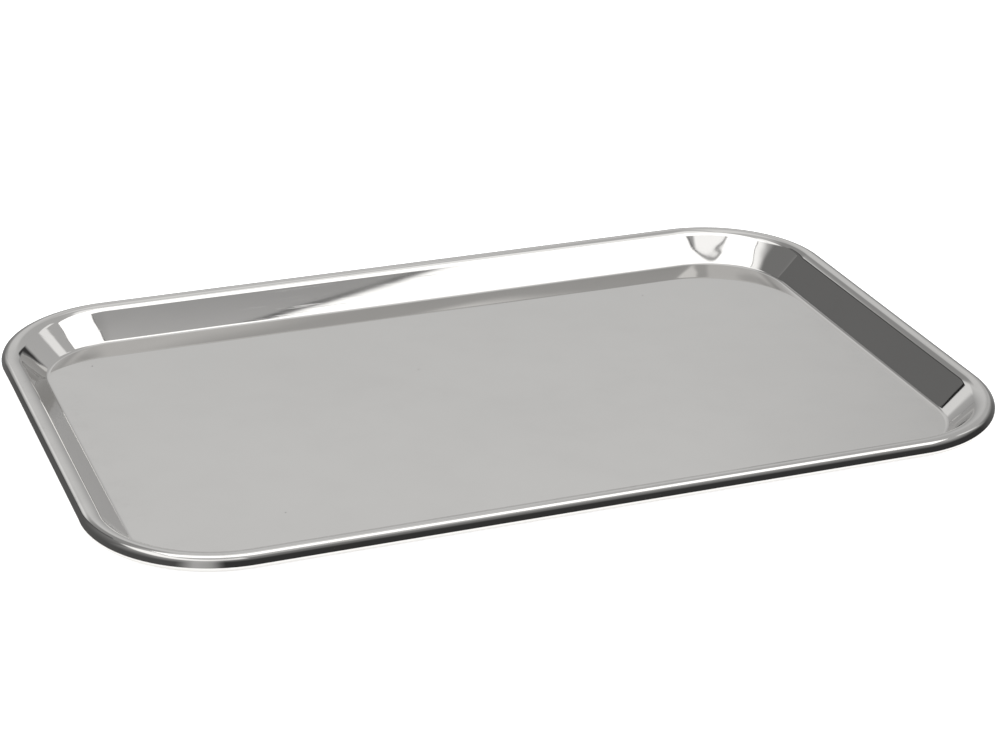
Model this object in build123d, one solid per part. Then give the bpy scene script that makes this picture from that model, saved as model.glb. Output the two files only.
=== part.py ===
from build123d import *
import os
from math import cos, radians, sin

# Shallow rectangular instrument tray, pressed from one sheet of stainless steel.
#
# The frame: the origin is at the middle of the floor's underside, where the tray rests on a table.
# +X runs along the long side, +Y along the short side and +Z up. Sizes are in millimetres.

# Overall sizes, over the outside of the rim.
LENGTH = 486.0
WIDTH = 321.0
HEIGHT = 17.1
CORNER_RADIUS = 68.5

# The sheet, and how steeply the wall leans out from the floor, in degrees.
SHEET = 0.8
WALL_SLOPE = 47.0

# Bends of the section, as radii of the polished upper face, from the floor outwards.
FLOOR_BEND = 3.0
SHOULDER_BEND = 8.4
RIM_OUTER_BEND = 4.9
RIM_UNDER_BEND = 3.2
RIM_TUCK_BEND = 2.6

# Turns of the rolled rim, in degrees: over the top, round underneath, and up inside the roll.
QUARTER_TURN = 90.0
RIM_TUCK_TURN = 100.0


def wall_run():
    """Length of the flat slanted wall, so that the top of the rim comes out at HEIGHT."""
    bend_rise = (FLOOR_BEND + SHOULDER_BEND) * (1 - cos(radians(WALL_SLOPE)))
    return (HEIGHT - SHEET - bend_rise) / sin(radians(WALL_SLOPE))


def wall_reach():
    """Distance across, from where the flat floor ends to the outermost line of the rim."""
    slope = radians(WALL_SLOPE)
    return (FLOOR_BEND + SHOULDER_BEND) * sin(slope) + wall_run() * cos(slope) + RIM_OUTER_BEND


def section_runs():
    """The section's runs as (size, turn): a straight of that length, or a bend of that radius."""
    return [
        (FLOOR_BEND, WALL_SLOPE),
        (wall_run(), 0.0),
        (SHOULDER_BEND, -WALL_SLOPE),
        (RIM_OUTER_BEND, -QUARTER_TURN),
        (RIM_UNDER_BEND, -QUARTER_TURN),
        (RIM_TUCK_BEND, -RIM_TUCK_TURN),
    ]


def section_line(start, depth):
    """Edges of the section at a depth below the polished face, walked from the floor outwards.

    A bend that turns up has its centre above the sheet, so its radius grows with the depth.
    A bend that turns down has its centre below, so its radius shrinks.
    """
    heading = Vector(1, 0)
    point = start - Vector(0, depth)
    edges = []
    for size, turn in section_runs():
        if turn == 0:
            edge = Line(point, point + heading * size)
        else:
            radius = size + depth if turn > 0 else size - depth
            edge = JernArc(point, heading, radius, turn)
            heading = heading.rotate(Axis.Z, turn)
        edges.append(edge)
        point = edge @ 1
    return edges


def section_face(outermost):
    """Section through the wall and rim, standing on the XZ plane, with the rim ending at outermost."""
    start = Vector(outermost - wall_reach(), SHEET)
    upper = section_line(start, 0.0)
    lower = section_line(start, SHEET)
    floor_end = Line(upper[0] @ 0, lower[0] @ 0)
    rolled_end = Line(upper[-1] @ 1, lower[-1] @ 1)
    return Plane.XZ * make_face(upper + lower + [floor_end, rolled_end])


def rim_quarter():
    """Wall and rim round one corner, with half of the long side and half of the short side."""
    corner_x = LENGTH / 2 - CORNER_RADIUS
    corner_y = WIDTH / 2 - CORNER_RADIUS
    end_section = section_face(LENGTH / 2)
    short_half = extrude(end_section, amount=corner_y, dir=(0, 1, 0))
    side_section = Rot(0, 0, 90) * section_face(WIDTH / 2)
    long_half = extrude(side_section, amount=corner_x, dir=(1, 0, 0))
    corner_axis = Axis((corner_x, corner_y, 0), (0, 0, 1))
    corner = revolve(Pos(0, corner_y, 0) * end_section, axis=corner_axis, revolution_arc=QUARTER_TURN)
    return short_half + corner + long_half


def tray_pan():
    """The whole pressing: the flat floor with the wall and rolled rim all the way round it."""
    floor_length = LENGTH - 2 * wall_reach()
    floor_width = WIDTH - 2 * wall_reach()
    floor_corner = CORNER_RADIUS - wall_reach()
    pan = extrude(RectangleRounded(floor_length, floor_width, floor_corner), amount=SHEET)
    right = rim_quarter()
    right += mirror(right, about=Plane.XZ)
    left = mirror(right, about=Plane.YZ)
    return pan + right + left


os.makedirs("parts", exist_ok=True)
export_step(tray_pan(), "parts/tray_pan.step")
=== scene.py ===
import logging
from dataclasses import dataclass, replace
from enum import Enum
from math import cos, pi, radians, sin

import bpy
import numpy as np
from mathutils import Matrix, Vector


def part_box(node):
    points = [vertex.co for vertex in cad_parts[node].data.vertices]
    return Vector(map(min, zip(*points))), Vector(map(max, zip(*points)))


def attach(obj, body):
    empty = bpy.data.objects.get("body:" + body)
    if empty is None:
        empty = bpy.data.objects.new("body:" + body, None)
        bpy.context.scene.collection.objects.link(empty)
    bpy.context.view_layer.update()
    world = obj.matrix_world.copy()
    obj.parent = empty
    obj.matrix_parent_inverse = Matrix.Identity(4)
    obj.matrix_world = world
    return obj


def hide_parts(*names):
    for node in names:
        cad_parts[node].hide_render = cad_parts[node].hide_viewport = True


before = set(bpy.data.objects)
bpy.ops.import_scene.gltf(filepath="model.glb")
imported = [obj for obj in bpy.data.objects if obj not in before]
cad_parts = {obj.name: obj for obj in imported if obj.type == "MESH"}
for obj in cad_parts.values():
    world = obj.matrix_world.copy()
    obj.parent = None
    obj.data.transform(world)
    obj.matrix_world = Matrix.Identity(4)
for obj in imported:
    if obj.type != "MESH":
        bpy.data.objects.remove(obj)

# Looks of a shallow instrument tray, pressed from one sheet of stainless steel and polished.
#
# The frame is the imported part's: the origin is in the middle of the floor's underside, +X runs along
# the long side, +Y along the short side and +Z up. Sizes are in metres and angles in degrees.

BODY = "root"
PAN_NODE = "tray_pan"

RIM_ATTRIBUTE = "rub"
CORNER_ATTRIBUTE = "drawn_corner"

log = logging.getLogger("instrument_tray")

FloatArray = np.ndarray


class Skin(Enum):
    """Which finish a face of the pan takes, by its material slot's number."""

    POLISHED = 0
    UNDERSIDE = 1


# ---------------------------------------------------------------------------------------------
# Shader nodes
# ---------------------------------------------------------------------------------------------


class NodeSketch:
    """A node tree with short ways to add nodes, set their sockets and link them."""

    def __init__(self, tree: bpy.types.NodeTree) -> None:
        """Starts from an empty tree."""
        self.tree = tree
        tree.nodes.clear()

    def node(self, kind: str, settings: dict | None = None, **sockets: object) -> bpy.types.Node:
        """Adds a node.

        Args:
            kind: the node's type name.
            settings: the node's own properties and their values.
            sockets: input sockets by name, with underscores for spaces, or by number as s0, s1.
                A value that is an output socket is linked, and any other is set.

        Returns:
            The new node.
        """
        made = self.tree.nodes.new(kind)
        for name, value in (settings or {}).items():
            setattr(made, name, value)
        for name, value in sockets.items():
            numbered = name[0] == "s" and name[1:].isdigit()
            socket = made.inputs[int(name[1:]) if numbered else name.replace("_", " ")]
            if isinstance(value, bpy.types.NodeSocket):
                self.tree.links.new(value, socket)
            else:
                socket.default_value = value
        return made

    def maths(self, operation: str, *values: object) -> bpy.types.NodeSocket:
        """The result of one arithmetic step on numbers or sockets."""
        sockets = {f"s{place}": value for place, value in enumerate(values)}
        return self.node("ShaderNodeMath", {"operation": operation}, **sockets).outputs[0]

    def blend(self, amount: object, first: object, second: object) -> bpy.types.NodeSocket:
        """A number that runs from first to second as amount goes from 0 to 1."""
        mixed = self.node("ShaderNodeMix", {"data_type": "FLOAT"}, s0=amount, s2=first, s3=second)
        return mixed.outputs[0]

    def blend_colour(self, amount: object, first: object, second: object) -> bpy.types.NodeSocket:
        """A colour that runs from first to second as amount goes from 0 to 1."""
        mixed = self.node("ShaderNodeMix", {"data_type": "RGBA"}, s0=amount, s6=first, s7=second)
        return mixed.outputs[2]

    def step(self, value: object, low: float, high: float) -> bpy.types.NodeSocket:
        """A smooth step: 0 below low, 1 above high."""
        settings = {"interpolation_type": "SMOOTHSTEP"}
        return self.node("ShaderNodeMapRange", settings, s0=value, s1=low, s2=high).outputs[0]

    def noise(self, place: object, scale: object, detail: float) -> bpy.types.NodeSocket:
        """Cloudy noise between 0 and 1 over a place: scale is clouds in a metre, detail its octaves."""
        made = self.node("ShaderNodeTexNoise", None, Vector=place, Scale=scale, Detail=detail)
        return made.outputs["Fac"]

    def object_place(self) -> bpy.types.NodeSocket:
        """The point being shaded, in the object's own metres."""
        return self.node("ShaderNodeTexCoord").outputs["Object"]

    def finish_glow(self, cover: object, strength: object) -> None:
        """Ends a material as a glow of a strength, seen through where its cover is less than 1."""
        glow = self.node("ShaderNodeEmission", None, Strength=strength)
        clear = self.node("ShaderNodeBsdfTransparent")
        mixed = self.node("ShaderNodeMixShader", None, s0=cover, s1=clear.outputs[0], s2=glow.outputs[0])
        self.node("ShaderNodeOutputMaterial", None, Surface=mixed.outputs[0])


def fresh_sketch(name: str) -> tuple[bpy.types.Material, NodeSketch]:
    """A new material, and the sketch of its empty node tree."""
    made = bpy.data.materials.new(name)
    made.use_nodes = True
    return made, NodeSketch(made.node_tree)


def add_point_values(mesh: bpy.types.Mesh, name: str, values: FloatArray) -> None:
    """Stores one number per vertex in a mesh, for its material to read by name."""
    attribute = mesh.attributes.new(name, "FLOAT", "POINT")
    attribute.data.foreach_set("value", values.astype(np.float32))


def link_stage_object(made: bpy.types.Object, seen: bool) -> None:
    """Puts a piece of the studio in the scene, either plainly or only as the steel reflects it."""
    bpy.context.scene.collection.objects.link(made)
    if not seen:
        made.visible_camera = False
        made.visible_shadow = False


class Effect:
    """A shader node group with named sockets, built once and placed in each finish that uses it."""

    name = ""
    inputs: dict[str, float] = {}
    outputs: tuple[str, ...] = ()

    def draw(self, sketch: NodeSketch, source: bpy.types.Node) -> dict[str, bpy.types.NodeSocket]:
        """Draws the group's nodes and returns the socket behind each output."""
        raise NotImplementedError

    def group(self) -> bpy.types.NodeTree:
        """The group, made the first time it is asked for."""
        made = bpy.data.node_groups.get(self.name)
        if made is not None:
            return made
        made = bpy.data.node_groups.new(self.name, "ShaderNodeTree")
        for name, value in self.inputs.items():
            socket = made.interface.new_socket(name, in_out="INPUT", socket_type="NodeSocketFloat")
            socket.default_value = value
        for name in self.outputs:
            made.interface.new_socket(name, in_out="OUTPUT", socket_type="NodeSocketFloat")
        sketch = NodeSketch(made)
        source = sketch.node("NodeGroupInput")
        results = self.draw(sketch, source)
        sketch.node("NodeGroupOutput", None, **{n.replace(" ", "_"): s for n, s in results.items()})
        return made

    def place(self, sketch: NodeSketch, **values: object) -> bpy.types.Node:
        """Places the group in a finish, with that finish's values."""
        return sketch.node("ShaderNodeGroup", {"node_tree": self.group()}, **values)


class SheetWaves(Effect):
    """Long shallow waves of a pressed sheet, and the tighter ripples that drawing leaves in corners.

    Height, in metres, is cloudy noise about its middle value, times the wave's height.
    """

    name = "sheet waves"
    inputs = {"Waves Per Metre": 14.0, "Wave Height": 5e-5, "Corner": 0.0, "Ripple Height": 4e-5}
    outputs = ("Height",)
    ripples_per_metre = 60.0
    detail = 1.0
    middle = 0.5

    def draw(self, sketch: NodeSketch, source: bpy.types.Node) -> dict[str, bpy.types.NodeSocket]:
        """Draws the long waves and adds the corner ripples."""
        place = sketch.object_place()
        long_noise = sketch.noise(place, source.outputs["Waves Per Metre"], self.detail)
        long_wave = sketch.maths("SUBTRACT", long_noise, self.middle)
        long_height = sketch.maths("MULTIPLY", long_wave, source.outputs["Wave Height"])
        short_noise = sketch.noise(place, self.ripples_per_metre, self.detail)
        short_wave = sketch.maths("SUBTRACT", short_noise, self.middle)
        ripple = sketch.maths("MULTIPLY", short_wave, source.outputs["Ripple Height"])
        corner_height = sketch.maths("MULTIPLY", ripple, source.outputs["Corner"])
        return {"Height": sketch.maths("ADD", long_height, corner_height)}


class HairScratches(Effect):
    """Fine scratches from wiping and stacking, in two crossing directions.

    Each set is noise stretched along its own direction and cut off high, so only thin streaks stay,
    and a cloudy patch pattern leaves some places with more of them than others.
    """

    name = "hair scratches"
    inputs = {"Amount": 0.5, "Depth": 2e-6}
    outputs = ("Mask", "Height")
    directions = (24.0, -38.0)
    streak_detail = 1.0
    along_per_metre = 22.0
    across_per_metre = 1500.0
    streak_limits = (0.63, 0.74)
    patches_per_metre = 18.0
    patch_detail = 3.0
    patch_limits = (0.42, 0.66)

    def draw(self, sketch: NodeSketch, source: bpy.types.Node) -> dict[str, bpy.types.NodeSocket]:
        """Draws the streaks of each direction and thins them out in patches."""
        place = sketch.object_place()
        streaks = 0.0
        for direction in self.directions:
            turned = sketch.node(
                "ShaderNodeMapping",
                None,
                Vector=place,
                Rotation=(0.0, 0.0, radians(direction)),
                Scale=(self.along_per_metre, self.across_per_metre, self.along_per_metre),
            )
            streak = sketch.noise(turned.outputs[0], 1.0, self.streak_detail)
            streak = sketch.step(streak, *self.streak_limits)
            streaks = sketch.maths("MAXIMUM", streaks, streak)
        patch_noise = sketch.noise(place, self.patches_per_metre, self.patch_detail)
        patched = sketch.maths("MULTIPLY", streaks, sketch.step(patch_noise, *self.patch_limits))
        mask = sketch.maths("MULTIPLY", patched, source.outputs["Amount"])
        depth = sketch.maths("MULTIPLY", source.outputs["Depth"], -1.0)
        return {"Mask": mask, "Height": sketch.maths("MULTIPLY", mask, depth)}


class HandlingHaze(Effect):
    """Wipe marks and finger haze: soft blotches of two sizes, and a few small dried specks."""

    name = "handling haze"
    inputs = {"Amount": 0.5}
    outputs = ("Haze", "Specks")
    blotches_per_metre = 11.0
    blotch_detail = 3.0
    blotch_limits = (0.35, 0.7)
    smears_per_metre = 46.0
    smear_detail = 4.0
    smear_limits = (0.4, 0.75)
    smear_share = 0.4
    specks_per_metre = 120.0
    speck_size = 0.055
    speck_share = 0.965

    def draw(self, sketch: NodeSketch, source: bpy.types.Node) -> dict[str, bpy.types.NodeSocket]:
        """Draws blotches and smears, and keeps a small dot in a few cells of a cell pattern."""
        place = sketch.object_place()
        blotch_noise = sketch.noise(place, self.blotches_per_metre, self.blotch_detail)
        smear_noise = sketch.noise(place, self.smears_per_metre, self.smear_detail)
        blotches = sketch.step(blotch_noise, *self.blotch_limits)
        smears = sketch.step(smear_noise, *self.smear_limits)
        marks = sketch.blend(self.smear_share, blotches, smears)
        haze = sketch.maths("MULTIPLY", marks, source.outputs["Amount"])
        cells = sketch.node("ShaderNodeTexVoronoi", None, Vector=place, Scale=self.specks_per_metre)
        dot = sketch.maths("LESS_THAN", cells.outputs["Distance"], self.speck_size)
        chosen = sketch.node("ShaderNodeSeparateColor", None, s0=cells.outputs["Color"]).outputs[0]
        kept = sketch.maths("GREATER_THAN", chosen, self.speck_share)
        return {"Haze": haze, "Specks": sketch.maths("MULTIPLY", dot, kept)}


class EdgeRub(Effect):
    """Dull rubbed patches where the tray is gripped, stacked or slid along a surface."""

    name = "edge rub"
    inputs = {"Exposed": 0.0, "Amount": 0.5}
    outputs = ("Mask",)
    patches_per_metre = 60.0
    patch_detail = 4.0
    patch_limits = (0.4, 0.68)
    nicks_per_metre = 420.0
    nick_detail = 2.0
    nick_limits = (0.45, 0.7)
    least_wear = 0.5

    def draw(self, sketch: NodeSketch, source: bpy.types.Node) -> dict[str, bpy.types.NodeSocket]:
        """Breaks the exposed band up into patches and fine nicks."""
        place = sketch.object_place()
        patch_noise = sketch.noise(place, self.patches_per_metre, self.patch_detail)
        nick_noise = sketch.noise(place, self.nicks_per_metre, self.nick_detail)
        patches = sketch.step(patch_noise, *self.patch_limits)
        nicks = sketch.step(nick_noise, *self.nick_limits)
        worn = sketch.maths("MULTIPLY", patches, sketch.blend(self.least_wear, nicks, 1.0))
        exposed = sketch.maths("MULTIPLY", worn, source.outputs["Exposed"])
        return {"Mask": sketch.maths("MULTIPLY", exposed, source.outputs["Amount"])}


# ---------------------------------------------------------------------------------------------
# Finishes
# ---------------------------------------------------------------------------------------------


@dataclass(frozen=True)
class SteelFinish:
    """Bare stainless steel, from a mirror to a dull face.

    Colour and roughness start from the clean metal's own values, and haze, scratches, rubbed edges
    and specks each add to them.
    """

    name: str
    clean_colour: tuple[float, float, float] = (0.623, 0.614, 0.6)
    hazed_colour: tuple[float, float, float] = (0.593, 0.584, 0.57)
    rubbed_colour: tuple[float, float, float] = (0.52, 0.513, 0.5)
    speck_colour: tuple[float, float, float] = (0.2, 0.195, 0.185)
    roughness: float = 0.03
    haze_roughness: float = 0.04
    scratch_roughness: float = 0.16
    rub_roughness: float = 0.2
    haze: float = 0.6
    scratches: float = 0.5
    scratch_depth: float = 2e-6
    rub: float = 0.5
    waves_per_metre: float = 10.0
    wave_height: float = 2.4e-4
    ripple_height: float = 2e-4
    bump_strength: float = 1.0

    def material(self) -> bpy.types.Material:
        """Builds the material.

        Returns:
            A material with one Principled BSDF, dressed by the four effects.
        """
        made, sketch = fresh_sketch(self.name)
        corner = sketch.node("ShaderNodeAttribute", {"attribute_name": CORNER_ATTRIBUTE})
        rim = sketch.node("ShaderNodeAttribute", {"attribute_name": RIM_ATTRIBUTE})
        haze = HandlingHaze().place(sketch, Amount=self.haze)
        scratch = HairScratches().place(sketch, Amount=self.scratches, Depth=self.scratch_depth)
        rub = EdgeRub().place(sketch, Exposed=rim.outputs["Fac"], Amount=self.rub)
        waves = SheetWaves().place(
            sketch,
            Waves_Per_Metre=self.waves_per_metre,
            Wave_Height=self.wave_height,
            Corner=corner.outputs["Fac"],
            Ripple_Height=self.ripple_height,
        )
        colour = sketch.blend_colour(
            haze.outputs["Haze"], (*self.clean_colour, 1.0), (*self.hazed_colour, 1.0)
        )
        colour = sketch.blend_colour(rub.outputs["Mask"], colour, (*self.rubbed_colour, 1.0))
        colour = sketch.blend_colour(haze.outputs["Specks"], colour, (*self.speck_colour, 1.0))
        rough = self.roughness
        for mask, added in (
            (haze.outputs["Haze"], self.haze_roughness),
            (scratch.outputs["Mask"], self.scratch_roughness),
            (rub.outputs["Mask"], self.rub_roughness),
        ):
            rough = sketch.maths("ADD", rough, sketch.maths("MULTIPLY", mask, added))
        height = sketch.maths("ADD", waves.outputs["Height"], scratch.outputs["Height"])
        bump = sketch.node(
            "ShaderNodeBump", None, Strength=self.bump_strength, Distance=1.0, Height=height
        )
        shader = sketch.node(
            "ShaderNodeBsdfPrincipled",
            None,
            Base_Color=colour,
            Metallic=1.0,
            Roughness=rough,
            Normal=bump.outputs[0],
        )
        sketch.node("ShaderNodeOutputMaterial", None, Surface=shader.outputs[0])
        return made


MIRROR_POLISH = SteelFinish("mirror_polished_steel")
DULL_UNDERSIDE = SteelFinish(
    "dull_underside_steel",
    roughness=0.24,
    haze_roughness=0.1,
    scratches=0.9,
    scratch_depth=6e-6,
    rub=0.9,
)


# ---------------------------------------------------------------------------------------------
# The pan
# ---------------------------------------------------------------------------------------------


@dataclass
class SectionLine:
    """Points along one skin of the pan's section, from the floor outwards.

    Attributes:
        inset: how far each point lies in from the outermost line of the rim.
        height: the point's height above the table.
        outward: outward part of the skin's unit normal.
        upward: upward part of the skin's unit normal.
        exposed: how much the point is rubbed in use, from 0 to 1.
        spread: how far the point is along the way from the middle of the floor to the floor's edge.
        skin: the finish's number, for the strip of faces that starts at the point.
    """

    inset: FloatArray
    height: FloatArray
    outward: FloatArray
    upward: FloatArray
    exposed: FloatArray
    spread: FloatArray
    skin: FloatArray

    def backwards(self) -> "SectionLine":
        """This line from its last point to its first."""
        return SectionLine(*(values[::-1] for values in vars(self).values()))

    def then(self, other: "SectionLine") -> "SectionLine":
        """This line with another one joined to its end."""
        pairs = zip(vars(self).values(), vars(other).values())
        return SectionLine(*(np.concatenate(pair) for pair in pairs))


@dataclass
class PanSection:
    """Section through the floor, wall and rolled rim, as runs that follow each other.

    Every run is an arc of the polished face. A run's heading is its angle above level, and its
    normal is square to the heading, on the upper side. The lower skin is the upper one moved a
    sheet's thickness against the normal.

    Attributes:
        height: from the table to the top of the rim.
        sheet: the sheet's thickness.
        wall_slope: how steeply the wall rises, in degrees above level.
        wall_curl: how much steeper the wall's head is than its foot.
        floor_bend: radius of the bend from the floor to the wall. The next four follow it outwards.
        rim_tuck_turn: how far the last bend turns, up inside the roll.
        points_per_turn: points in a full turn of a bend.
        wall_points: points along the wall.
        edge_points: points round the cut edge.
        rub_angle: lean of the rim's face, in degrees outwards, where it is rubbed most.
        rub_spread: change of lean over which the rubbing dies out.
    """

    height: float
    sheet: float = 0.0008
    wall_slope: float = 47.0
    wall_curl: float = 2.2
    floor_bend: float = 0.003
    shoulder_bend: float = 0.0084
    rim_outer_bend: float = 0.0049
    rim_under_bend: float = 0.0032
    rim_tuck_bend: float = 0.0026
    rim_tuck_turn: float = 100.0
    points_per_turn: int = 110
    wall_points: int = 8
    edge_points: int = 9
    rub_angle: float = 30.0
    rub_spread: float = 75.0

    def wall_run(self) -> float:
        """Length of the wall, so that the top of the rim comes out at the full height.

        The wall is a very flat arc, whose chord is its length times the sine of half its turn over
        half its turn.
        """
        foot = radians(self.wall_slope - self.wall_curl / 2)
        head = radians(self.wall_slope + self.wall_curl / 2)
        bends = self.floor_bend * (1 - cos(foot)) + self.shoulder_bend * (1 - cos(head))
        rise = self.height - self.sheet - bends
        return rise / (sin(radians(self.wall_slope)) * self.wall_chord_share())

    def wall_chord_share(self) -> float:
        """Chord of the wall's flat arc over its length."""
        half = radians(self.wall_curl / 2)
        return sin(half) / half

    def bend(self, radius: float, first: float, last: float) -> tuple[float, float, float, int]:
        """The run of a bend between two headings, with its points spread evenly by angle."""
        turn = abs(last - first)
        return radius * radians(turn), first, last, round(self.points_per_turn * turn / 360)

    def runs(self) -> list[tuple[float, float, float, int]]:
        """The runs as (length, heading at the start, heading at the end, points)."""
        foot = self.wall_slope - self.wall_curl / 2
        head = self.wall_slope + self.wall_curl / 2
        return [
            self.bend(self.floor_bend, 0.0, foot),
            (self.wall_run(), foot, head, self.wall_points),
            self.bend(self.shoulder_bend, head, 0.0),
            self.bend(self.rim_outer_bend, 0.0, -90.0),
            self.bend(self.rim_under_bend, -90.0, -180.0),
            self.bend(self.rim_tuck_bend, -180.0, -180.0 - self.rim_tuck_turn),
        ]

    def face(self) -> tuple[FloatArray, FloatArray, FloatArray]:
        """The polished face's line, from the floor's edge outwards.

        A point on an arc lies from the arc's start by the arc's radius times the change in the
        heading's sine, outwards, and in minus its cosine, upwards.

        Returns:
            Distances outwards from the floor's edge, heights and headings in radians.
        """
        out, up, heading = [np.zeros(1)], [np.full(1, self.sheet)], [np.zeros(1)]
        for length, first, last, count in self.runs():
            angle = np.radians(np.linspace(first, last, count + 1)[1:])
            start = radians(first)
            radius = length / (radians(last) - start)
            out.append(out[-1][-1] + radius * (np.sin(angle) - sin(start)))
            up.append(up[-1][-1] + radius * (cos(start) - np.cos(angle)))
            heading.append(angle)
        return np.concatenate(out), np.concatenate(up), np.concatenate(heading)

    def reach(self) -> float:
        """Distance across, from the floor's edge to the outermost line of the rim."""
        return float(self.face()[0].max())

    def skin_line(self, depth: float) -> SectionLine:
        """One skin of the sheet, at a depth under the polished face, from the floor outwards."""
        out, up, heading = self.face()
        outward = -np.sin(heading)
        upward = np.cos(heading)
        if depth == 0:
            side, skin = 1.0, Skin.POLISHED.value
            exposed = 1 - np.abs(np.degrees(-heading) - self.rub_angle) / self.rub_spread
        else:
            side, skin = -1.0, Skin.UNDERSIDE.value
            exposed = 1 - out / self.floor_bend
        return SectionLine(
            inset=self.reach() - (out - depth * outward),
            height=up - depth * upward,
            outward=side * outward,
            upward=side * upward,
            exposed=np.clip(exposed, 0, 1),
            spread=np.ones_like(out),
            skin=np.full(out.shape, skin),
        )

    def rolled_edge(self) -> SectionLine:
        """The sheet's rounded cut edge inside the roll: half a circle from one skin to the other."""
        out, up, heading = self.face()
        half = self.sheet / 2
        centre_out = out[-1] + half * sin(heading[-1])
        centre_up = up[-1] - half * cos(heading[-1])
        turn = heading[-1] + pi / 2 - np.linspace(0, pi, self.edge_points + 2)[1:-1]
        return SectionLine(
            inset=self.reach() - (centre_out + half * np.cos(turn)),
            height=centre_up + half * np.sin(turn),
            outward=np.cos(turn),
            upward=np.sin(turn),
            exposed=np.zeros_like(turn),
            spread=np.ones_like(turn),
            skin=np.full(turn.shape, Skin.UNDERSIDE.value),
        )

    def floor_line(self, upper: bool, rings: int) -> SectionLine:
        """Rings of the flat floor between its middle and its edge, without either end."""
        spread = np.linspace(0, 1, rings + 2)[1:-1]
        level = np.ones_like(spread)
        skin = Skin.POLISHED.value if upper else Skin.UNDERSIDE.value
        return SectionLine(
            inset=self.reach() * level,
            height=self.sheet * level if upper else 0 * level,
            outward=0 * level,
            upward=level if upper else -level,
            exposed=0 * level,
            spread=spread,
            skin=skin * level,
        )

    def closed_line(self, floor_rings: int) -> SectionLine:
        """The whole section, over the polished face outwards and back along the underside."""
        over = self.floor_line(True, floor_rings).then(self.skin_line(0.0))
        under = self.floor_line(False, floor_rings).then(self.skin_line(self.sheet))
        return over.then(self.rolled_edge()).then(under.backwards())


@dataclass
class RimOutline:
    """Rectangle with round corners that the rim's outermost line follows, seen from above.

    A point of the outline is an anchor on the inner rectangle that joins the corners' centres, plus
    the corner radius times the outward direction. A line inside the outline keeps the anchors and
    directions and takes a smaller radius.

    Attributes:
        length: size along X.
        width: size along Y.
        corner_radius: radius of the outermost line's corners.
        long_side_steps: steps along each long side.
        short_side_steps: steps along each short side.
        corner_steps: steps round each corner.
        corner_run_on: distance over which a corner's ripples die out along the straight sides.
        corner_signs: which side of X and Y each corner is on, anticlockwise.
    """

    length: float
    width: float
    corner_radius: float = 0.0685
    long_side_steps: int = 36
    short_side_steps: int = 20
    corner_steps: int = 44
    corner_run_on: float = 0.03
    corner_signs: tuple[tuple[int, int], ...] = ((1, 1), (-1, 1), (-1, -1), (1, -1))

    def stations(self) -> tuple[FloatArray, FloatArray, FloatArray]:
        """Anchors, outward directions and how far into a corner each station is, anticlockwise."""
        half = np.array([self.length, self.width]) / 2 - self.corner_radius
        centres = np.array(self.corner_signs) * half
        anchors, directions, corners = [], [], []
        for quarter, (centre, following) in enumerate(zip(centres, np.roll(centres, -1, 0))):
            start_angle = quarter * pi / 2
            steps = self.long_side_steps if quarter % 2 == 0 else self.short_side_steps
            angle = start_angle + np.linspace(0, pi / 2, self.corner_steps + 1)
            anchors.append(np.repeat(centre[None], len(angle), 0))
            directions.append(np.stack([np.cos(angle), np.sin(angle)], 1))
            corners.append((1 + np.sin(2 * (angle - start_angle))) / 2)
            share = np.linspace(0, 1, steps + 1)[1:-1, None]
            span = following - centre
            anchors.append(centre + share * span)
            straight = np.array([[cos(angle[-1]), sin(angle[-1])]])
            directions.append(np.repeat(straight, steps - 1, 0))
            from_corner = np.minimum(share, 1 - share)[:, 0] * np.abs(span).max()
            corners.append(np.exp(-from_corner / self.corner_run_on) / 2)
        return np.concatenate(anchors), np.concatenate(directions), np.concatenate(corners)


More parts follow.
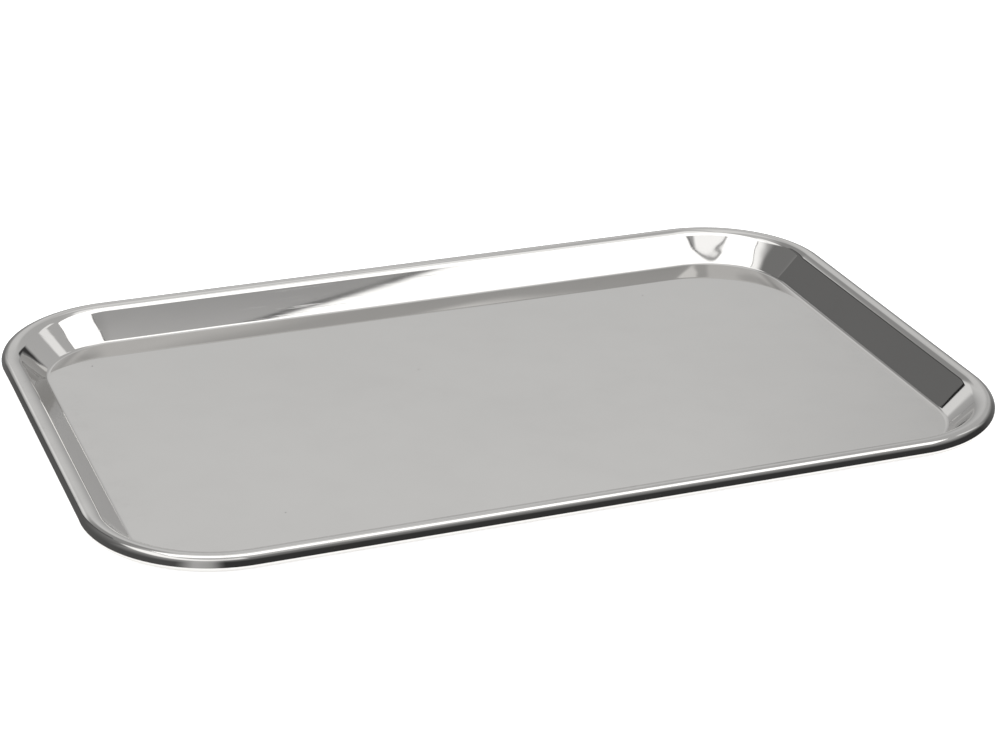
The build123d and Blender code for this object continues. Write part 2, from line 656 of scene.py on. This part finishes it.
class TrayPan:
    """The whole pressing: floor, wall and rolled rim in one sheet, which replaces the plain node."""

    floor_rings = 10

    def __init__(self) -> None:
        """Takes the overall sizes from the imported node."""
        low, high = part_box(PAN_NODE)
        size = high - low
        self.section = PanSection(height=size.z)
        self.outline = RimOutline(length=size.x, width=size.y)

    def build(self) -> bpy.types.Object:
        """Carries the section round the outline and dresses the result.

        A vertex is the anchor times the spread, plus the outward direction times the radius left at
        that inset times the spread, at the section's height. Its normal is the section's, turned
        the same way.

        Returns:
            The finished pan, riding on the tray's body.
        """
        line = self.section.closed_line(self.floor_rings)
        anchors, directions, corners = self.outline.stations()
        rings, stations = len(line.inset), len(anchors)
        radius = (self.outline.corner_radius - line.inset) * line.spread
        flat = (
            line.spread[:, None, None] * anchors[None]
            + radius[:, None, None] * directions[None]
        )
        height = np.repeat(line.height[:, None, None], stations, 1)
        points = np.concatenate([flat, height], 2).reshape(-1, 3)
        lean = line.outward[:, None, None] * directions[None]
        rise = np.repeat(line.upward[:, None, None], stations, 1)
        normals = np.concatenate([lean, rise], 2).reshape(-1, 3)
        poles = np.array([[0, 0, self.section.sheet], [0, 0, 0]])
        points = np.concatenate([points, poles])
        normals = np.concatenate([normals, [[0, 0, 1], [0, 0, -1]]])
        ends = np.zeros(2)
        exposed = np.concatenate([np.repeat(line.exposed, stations), ends])
        on_slope = np.abs(line.outward)[:, None] * corners[None]
        cornered = np.concatenate([on_slope.reshape(-1), ends])
        faces, skins = self.faces(rings, stations, line.skin)
        return self.mesh_object(points, normals, faces, skins, exposed, cornered)

    @staticmethod
    def faces(rings: int, stations: int, skin: FloatArray) -> tuple[list, FloatArray]:
        """Quads between neighbouring rings and stations, and a fan of triangles to each pole.

        Args:
            rings: how many rings there are.
            stations: how many stations each ring has.
            skin: the finish's number for the strip that starts at each ring.

        Returns:
            The faces as vertex numbers, and the finish's number of each.
        """
        ring = np.arange(rings - 1)[:, None] * stations
        here = np.arange(stations)[None]
        after = (here + 1) % stations
        quads = np.stack(
            [ring + here, ring + stations + here, ring + stations + after, ring + after], 2
        ).reshape(-1, 4)
        top, bottom = rings * stations, rings * stations + 1
        first, following = here[0], after[0]
        last_ring = (rings - 1) * stations
        top_fan = np.stack([np.full(stations, top), first, following], 1)
        bottom_fan = np.stack(
            [np.full(stations, bottom), last_ring + following, last_ring + first], 1
        )
        faces = quads.tolist() + top_fan.tolist() + bottom_fan.tolist()
        skins = np.concatenate(
            [
                np.repeat(skin[:-1], stations),
                np.full(stations, Skin.POLISHED.value),
                np.full(stations, Skin.UNDERSIDE.value),
            ]
        )
        return faces, skins.astype(np.int32)

    @staticmethod
    def mesh_object(
        points: FloatArray,
        normals: FloatArray,
        faces: list,
        skins: FloatArray,
        exposed: FloatArray,
        cornered: FloatArray,
    ) -> bpy.types.Object:
        """Puts the worked-out surface into a mesh, smooth by its own normals.

        Args:
            points: vertex places.
            normals: the true surface normal at each vertex.
            faces: vertex numbers of each face.
            skins: the finish's number of each face.
            exposed: how much each vertex is rubbed in use.
            cornered: how much each vertex lies on a drawn corner.

        Returns:
            The pan as an object with both finishes, riding on the tray's body.
        """
        mesh = bpy.data.meshes.new("polished_pan")
        mesh.from_pydata(points, [], faces)
        mesh.polygons.foreach_set("material_index", skins)
        mesh.polygons.foreach_set("use_smooth", np.ones(len(skins), bool))
        add_point_values(mesh, RIM_ATTRIBUTE, exposed)
        add_point_values(mesh, CORNER_ATTRIBUTE, cornered)
        mesh.normals_split_custom_set_from_vertices(normals.astype(np.float32))
        mesh.materials.append(MIRROR_POLISH.material())
        mesh.materials.append(DULL_UNDERSIDE.material())
        mesh.update()
        pan = bpy.data.objects.new("polished_pan", mesh)
        bpy.context.scene.collection.objects.link(pan)
        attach(pan, BODY)
        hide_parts(PAN_NODE)
        return pan


# ---------------------------------------------------------------------------------------------
# The studio
# ---------------------------------------------------------------------------------------------


@dataclass
class StudioFloor:
    """Plain pale floor that the tray stands on, a touch below it so that the two don't share a face."""

    half_size: float = 6.0
    steps: int = 24
    drop: float = 0.0001
    colour: tuple[float, float, float] = (0.9, 0.9, 0.9)
    roughness: float = 0.7
    glow: float = 0.8

    def build(self) -> bpy.types.Object:
        """A level grid of points at equal steps both ways."""
        line = np.linspace(-self.half_size, self.half_size, self.steps + 1)
        x, y = np.meshgrid(line, line)
        points = np.stack([x, y, np.full_like(x, -self.drop)], 2).reshape(-1, 3)
        row = np.arange(self.steps)
        corner = (row[:, None] * (self.steps + 1) + row[None]).reshape(-1)
        across = self.steps + 1
        quads = np.stack([corner, corner + 1, corner + 1 + across, corner + across], 1)
        mesh = bpy.data.meshes.new("studio_floor")
        mesh.from_pydata(points, [], quads.tolist())
        mesh.materials.append(self.material())
        made = bpy.data.objects.new("studio_floor", mesh)
        link_stage_object(made, seen=True)
        return made

    def material(self) -> bpy.types.Material:
        """Dull white, lit a little from below as a light table is, so that shadows stay faint."""
        made, sketch = fresh_sketch("studio_floor")
        shader = sketch.node(
            "ShaderNodeBsdfPrincipled",
            None,
            Base_Color=(*self.colour, 1.0),
            Roughness=self.roughness,
            Emission_Color=(*self.colour, 1.0),
            Emission_Strength=self.glow,
        )
        sketch.node("ShaderNodeOutputMaterial", None, Surface=shader.outputs[0])
        return made


@dataclass
class StudioCard:
    """A flat level panel, bright or dark, turned about the upright, that fades out at its edges.

    It lights the floor and shows in the steel, but not to the camera.

    Attributes:
        name: the card's name.
        centre: its middle.
        length: its size along its own X.
        width: its size along its own Y.
        turn: how far it is turned, anticlockwise from above.
        brightness: its light, where 1 is white.
        fade: width of the strip along each edge over which it fades out.
        frame_border: how far its frame stands out past each edge.
        frame_gap: how far the frame is behind it.
        frame_brightness: the frame's light.
    """

    name: str
    centre: tuple[float, float, float]
    length: float
    width: float
    turn: float
    brightness: float
    fade: float
    frame_border: float = 0.007
    frame_gap: float = 0.001
    frame_brightness: float = 0.12

    def build(self) -> bpy.types.Object:
        """A rectangle in its own plane, which is then turned and raised to its place."""
        half = np.array([[-1, -1], [-1, 1], [1, 1], [1, -1]]) / 2
        flat = half * [self.length, self.width]
        mesh = bpy.data.meshes.new(self.name)
        mesh.from_pydata(np.c_[flat, np.zeros(4)], [], [[0, 1, 2, 3]])
        mesh.materials.append(self.material())
        made = bpy.data.objects.new(self.name, mesh)
        made.matrix_world = Matrix.Translation(self.centre) @ Matrix.Rotation(
            radians(self.turn), 4, "Z"
        )
        link_stage_object(made, seen=False)
        return made

    def frame(self) -> "StudioCard":
        """A dark card just behind this one, which shows as a thin frame round it."""
        x, y, z = self.centre
        return replace(
            self,
            name="softbox_frame",
            centre=(x, y, z + self.frame_gap),
            length=self.length + 2 * self.frame_border,
            width=self.width + 2 * self.frame_border,
            brightness=self.frame_brightness,
            fade=self.fade / 2,
        )

    def material(self) -> bpy.types.Material:
        """A glow that is full in the middle and falls smoothly to nothing along each edge."""
        made, sketch = fresh_sketch(self.name)
        place = sketch.node("ShaderNodeSeparateXYZ", None, Vector=sketch.object_place())
        shares = []
        for axis, size in enumerate((self.length, self.width)):
            from_middle = sketch.maths("ABSOLUTE", place.outputs[axis])
            to_edge = sketch.maths("SUBTRACT", size / 2, from_middle)
            shares.append(sketch.step(to_edge, 0.0, self.fade))
        cover = sketch.maths("MULTIPLY", *shares)
        sketch.finish_glow(cover, sketch.maths("MULTIPLY", cover, self.brightness))
        return made


@dataclass(frozen=True)
class CardSide:
    """How the card round the rim is on one side of the tray.

    Attributes:
        direction: the side, as an angle from +X towards +Y.
        brightness: the card's light there, where 1 is white.
        full_height: height up to which it is solid.
        clear_height: height at which it has faded out.
    """

    direction: float
    brightness: float
    full_height: float
    clear_height: float


@dataclass
class RimCard:
    """A low card that stands just outside the rim, all the way round, and shows only in the steel.

    It gives the rolled rim its dark lines, strongest on the near side, and is too low to reach the
    floor of the tray.

    Attributes:
        outline: the rim's outline.
        gap: how far outside the rim it stands.
        lift: height of its foot above the table.
        sides: how it is on each side, in order of direction.
    """

    outline: RimOutline
    gap: float = 0.012
    lift: float = 0.005
    sides: tuple[CardSide, ...] = (
        CardSide(0.0, 0.42, 0.017, 0.024),
        CardSide(90.0, 0.4, 0.017, 0.024),
        CardSide(180.0, 0.13, 0.019, 0.042),
        CardSide(215.0, 0.1, 0.019, 0.042),
        CardSide(236.0, 0.1, 0.02, 0.038),
        CardSide(244.0, 0.6, 0.02, 0.04),
        CardSide(251.0, 0.5, 0.021, 0.042),
        CardSide(257.0, 0.05, 0.022, 0.045),
        CardSide(315.0, 0.05, 0.022, 0.042),
        CardSide(345.0, 0.2, 0.02, 0.034),
        CardSide(360.0, 0.42, 0.017, 0.024),
    )

    def build(self) -> bpy.types.Object:
        """Three rows of points on the rim's outline, moved outwards by the gap.

        A point is the anchor plus the outward direction times the corner radius and the gap. Its
        row's height and its brightness run evenly between the sides that its direction lies between.
        """
        anchors, directions, _ = self.outline.stations()
        flat = anchors + (self.outline.corner_radius + self.gap) * directions
        angle = np.degrees(np.arctan2(directions[:, 1], directions[:, 0])) % 360
        known = [side.direction for side in self.sides]
        full = np.interp(angle, known, [side.full_height for side in self.sides])
        clear = np.interp(angle, known, [side.clear_height for side in self.sides])
        light = np.interp(angle, known, [side.brightness for side in self.sides])
        heights = np.stack([np.full_like(full, self.lift), full, clear])
        rows, stations = heights.shape
        points = np.concatenate([np.tile(flat, (rows, 1)), heights.reshape(-1, 1)], 1)
        row = np.arange(rows - 1)[:, None] * stations
        here = np.arange(stations)[None]
        after = (here + 1) % stations
        quads = np.stack([row + here, row + after, row + stations + after, row + stations + here], 2)
        mesh = bpy.data.meshes.new("rim_card")
        mesh.from_pydata(points, [], quads.reshape(-1, 4).tolist())
        cover = np.repeat([1.0, 1.0, 0.0], stations)
        add_point_values(mesh, "light", np.tile(light, rows))
        add_point_values(mesh, "cover", cover)
        mesh.materials.append(self.material())
        made = bpy.data.objects.new("rim_card", mesh)
        link_stage_object(made, seen=False)
        made.visible_diffuse = False
        return made

    @staticmethod
    def material() -> bpy.types.Material:
        """The card's own brightness, seen through where it fades out."""
        made, sketch = fresh_sketch("rim_card")
        light = sketch.node("ShaderNodeAttribute", {"attribute_name": "light"}).outputs["Fac"]
        cover = sketch.node("ShaderNodeAttribute", {"attribute_name": "cover"}).outputs["Fac"]
        sketch.finish_glow(cover, light)
        return made


@dataclass(frozen=True)
class WallPanel:
    """A lighter or darker part of the studio's walls, as directions seen from the tray.

    Attributes:
        azimuth: the panel's middle, from +Y towards +X.
        half_width: half of the angle that it spans along the wall.
        low: elevation of its lower edge.
        high: elevation of its upper edge.
        fade: angle over which it fades out.
        brightness: its light, where 1 is white.
    """

    azimuth: float
    half_width: float
    low: float
    high: float
    fade: float
    brightness: float


@dataclass
class StudioWalls:
    """The room round the tray: a light grey that brightens upwards, with lighter and darker panels.

    The camera sees a plain backdrop in place of it, and the steel sees the room. Later panels cover
    earlier ones.
    """

    backdrop: float = 1.0
    horizon: float = 0.42
    ceiling: float = 0.81
    ceiling_elevation: float = 27.0
    panels: tuple[WallPanel, ...] = (
        # The ceiling, and the walls on the right and on the left.
        WallPanel(azimuth=0.0, half_width=181.0, low=36.0, high=95.0, fade=8.0, brightness=0.72),
        WallPanel(azimuth=67.0, half_width=36.0, low=-10.0, high=60.0, fade=12.0, brightness=0.6),
        WallPanel(azimuth=-60.0, half_width=47.0, low=-10.0, high=58.0, fade=24.0, brightness=0.52),
        # A dark upper part of the left wall, in the shoulder of the tray's right side.
        WallPanel(azimuth=-30.0, half_width=36.0, low=32.0, high=56.0, fade=9.0, brightness=0.38),
        # A dark block in the far right corner, and a light patch in the near right corner.
        WallPanel(azimuth=-51.0, half_width=17.0, low=10.0, high=50.0, fade=8.0, brightness=0.25),
        WallPanel(azimuth=-15.0, half_width=8.0, low=11.0, high=30.0, fade=6.0, brightness=1.0),
        # A dark door, which fills the wall of the tray's right side, and its black edge.
        WallPanel(azimuth=-28.2, half_width=6.4, low=-4.0, high=46.0, fade=1.0, brightness=0.02),
        WallPanel(azimuth=-29.8, half_width=5.0, low=-4.0, high=46.0, fade=1.0, brightness=0.19),
        # The ceiling behind the camera, lighter higher up, as a grey wedge in the far wall.
        WallPanel(azimuth=180.0, half_width=75.0, low=46.0, high=95.0, fade=8.0, brightness=0.46),
        WallPanel(azimuth=180.0, half_width=75.0, low=61.0, high=95.0, fade=10.0, brightness=0.68),
        # A bright strip in the far right corner, and two in the tops of the long rims.
        WallPanel(azimuth=-118.0, half_width=75.0, low=50.0, high=67.0, fade=6.0, brightness=1.5),
        WallPanel(azimuth=18.0, half_width=17.0, low=50.0, high=95.0, fade=8.0, brightness=1.0),
        WallPanel(azimuth=72.0, half_width=26.0, low=63.5, high=95.0, fade=3.0, brightness=1.3),
        # A dark opening and a bright strip in the far left corner.
        WallPanel(azimuth=45.0, half_width=12.0, low=-4.0, high=12.0, fade=4.0, brightness=0.05),
        WallPanel(azimuth=80.0, half_width=5.0, low=16.0, high=46.0, fade=3.0, brightness=1.2),
    )

    def build(self) -> bpy.types.World:
        """Lays the panels over the plain grey, one after the other.

        A direction is turned so that the panel's middle is straight ahead. Its azimuth is then the
        arc tangent of right over ahead, and its elevation the arc sine of its height. The panel's
        share is a smooth step in each, taken at both of its ends.
        """
        world = bpy.data.worlds.new("studio_walls")
        world.use_nodes = True
        bpy.context.scene.world = world
        sketch = NodeSketch(world.node_tree)
        direction = sketch.node("ShaderNodeTexCoord").outputs["Generated"]
        height = sketch.node("ShaderNodeSeparateXYZ", None, Vector=direction).outputs[2]
        rise = sketch.maths("DIVIDE", sketch.maths("ARCSINE", height), radians(self.ceiling_elevation))
        rise = sketch.node("ShaderNodeClamp", None, Value=rise).outputs[0]
        level = sketch.blend(rise, self.horizon, self.ceiling)
        for panel in self.panels:
            level = sketch.blend(self.share(sketch, direction, panel), level, panel.brightness)
        seen = sketch.node("ShaderNodeLightPath").outputs["Is Camera Ray"]
        level = sketch.blend(seen, level, self.backdrop)
        light = sketch.node("ShaderNodeBackground", None, Strength=level)
        light.inputs["Color"].default_value = (1.0, 1.0, 1.0, 1.0)
        sketch.node("ShaderNodeOutputWorld", None, Surface=light.outputs[0])
        return world

    @staticmethod
    def share(
        sketch: NodeSketch, direction: bpy.types.NodeSocket, panel: WallPanel
    ) -> bpy.types.NodeSocket:
        """How far a direction is inside a panel, from 0 to 1."""
        turned = sketch.node(
            "ShaderNodeVectorRotate",
            {"rotation_type": "Z_AXIS"},
            Vector=direction,
            Angle=radians(panel.azimuth),
        )
        parts = sketch.node("ShaderNodeSeparateXYZ", None, Vector=turned.outputs[0]).outputs
        azimuth = sketch.maths("ARCTAN2", parts[0], parts[1])
        elevation = sketch.maths("ARCSINE", parts[2])
        fade = radians(panel.fade)
        inside = (
            sketch.maths("SUBTRACT", radians(panel.half_width), sketch.maths("ABSOLUTE", azimuth)),
            sketch.maths("SUBTRACT", elevation, radians(panel.low)),
            sketch.maths("SUBTRACT", radians(panel.high), elevation),
        )
        share = 1.0
        for distance in inside:
            share = sketch.maths("MULTIPLY", share, sketch.step(distance, -fade / 2, fade / 2))
        return share


@dataclass
class FloorFill:
    """A broad soft light that brightens the floor and doesn't show in the steel."""

    height: float = 2.6
    size: float = 4.0
    power: float = 20.0

    def build(self) -> bpy.types.Object:
        """A square area light that faces straight down."""
        light = bpy.data.lights.new("floor_fill", "AREA")
        light.shape = "SQUARE"
        light.size = self.size
        light.energy = self.power
        made = bpy.data.objects.new("floor_fill", light)
        made.location = (0.0, 0.0, self.height)
        made.visible_glossy = False
        made.visible_camera = False
        bpy.context.scene.collection.objects.link(made)
        return made


@dataclass
class ViewCamera:
    """The camera, aimed at a point on the tray's floor.

    Attributes:
        azimuth: direction that the camera looks in, from +Y towards +X.
        elevation: how far it looks down.
        roll: its turn about its own line of sight.
        distance: from the camera to the point it looks at.
        aim: that point.
        lens: focal length in millimetres, on a sensor 36 mm wide.
    """

    azimuth: float = 21.10
    elevation: float = 24.31
    roll: float = 0.72
    distance: float = 1.4128
    aim: tuple[float, float, float] = (0.01428, 0.02352, 0.0008)
    lens: float = 93.355
    sensor: float = 36.0

    def build(self) -> bpy.types.Object:
        """Stands the camera back from its aim, along the line of sight, and rolls it."""
        azimuth, elevation = radians(self.azimuth), radians(self.elevation)
        sight = Vector(
            (sin(azimuth) * cos(elevation), cos(azimuth) * cos(elevation), -sin(elevation))
        )
        right = Vector((cos(azimuth), -sin(azimuth), 0.0))
        up = right.cross(sight)
        turn = Matrix.Rotation(radians(self.roll), 3, -sight)
        axes = Matrix((turn @ right, turn @ up, -sight)).transposed()
        data = bpy.data.cameras.new("view_camera")
        data.sensor_width = self.sensor
        data.lens = self.lens
        made = bpy.data.objects.new("view_camera", data)
        place = Vector(self.aim) - self.distance * sight
        made.matrix_world = Matrix.Translation(place) @ axes.to_4x4()
        bpy.context.scene.collection.objects.link(made)
        bpy.context.scene.camera = made
        return made


def main() -> None:
    """Builds the tray, the studio and the camera, and reports each piece."""
    logging.basicConfig(level=logging.INFO, format="%(name)s: %(message)s")
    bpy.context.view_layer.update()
    tray = TrayPan()
    pan = tray.build()
    softbox = StudioCard(
        name="overhead_softbox",
        centre=(0.2, -0.071, 1.0),
        length=1.5,
        width=0.52,
        turn=-18.0,
        brightness=1.9,
        fade=0.008,
    )
    log.info("%s: %d vertices, %d faces", pan.name, len(pan.data.vertices), len(pan.data.polygons))
    studio = (
        StudioFloor(),
        softbox,
        softbox.frame(),
        RimCard(tray.outline),
        StudioWalls(),
        FloorFill(),
        ViewCamera(),
    )
    for piece in studio:
        made = piece.build()
        log.info("%s: built", made.name)
    bpy.context.scene.view_settings.view_transform = "Standard"


if __name__ == "__main__":
    main()
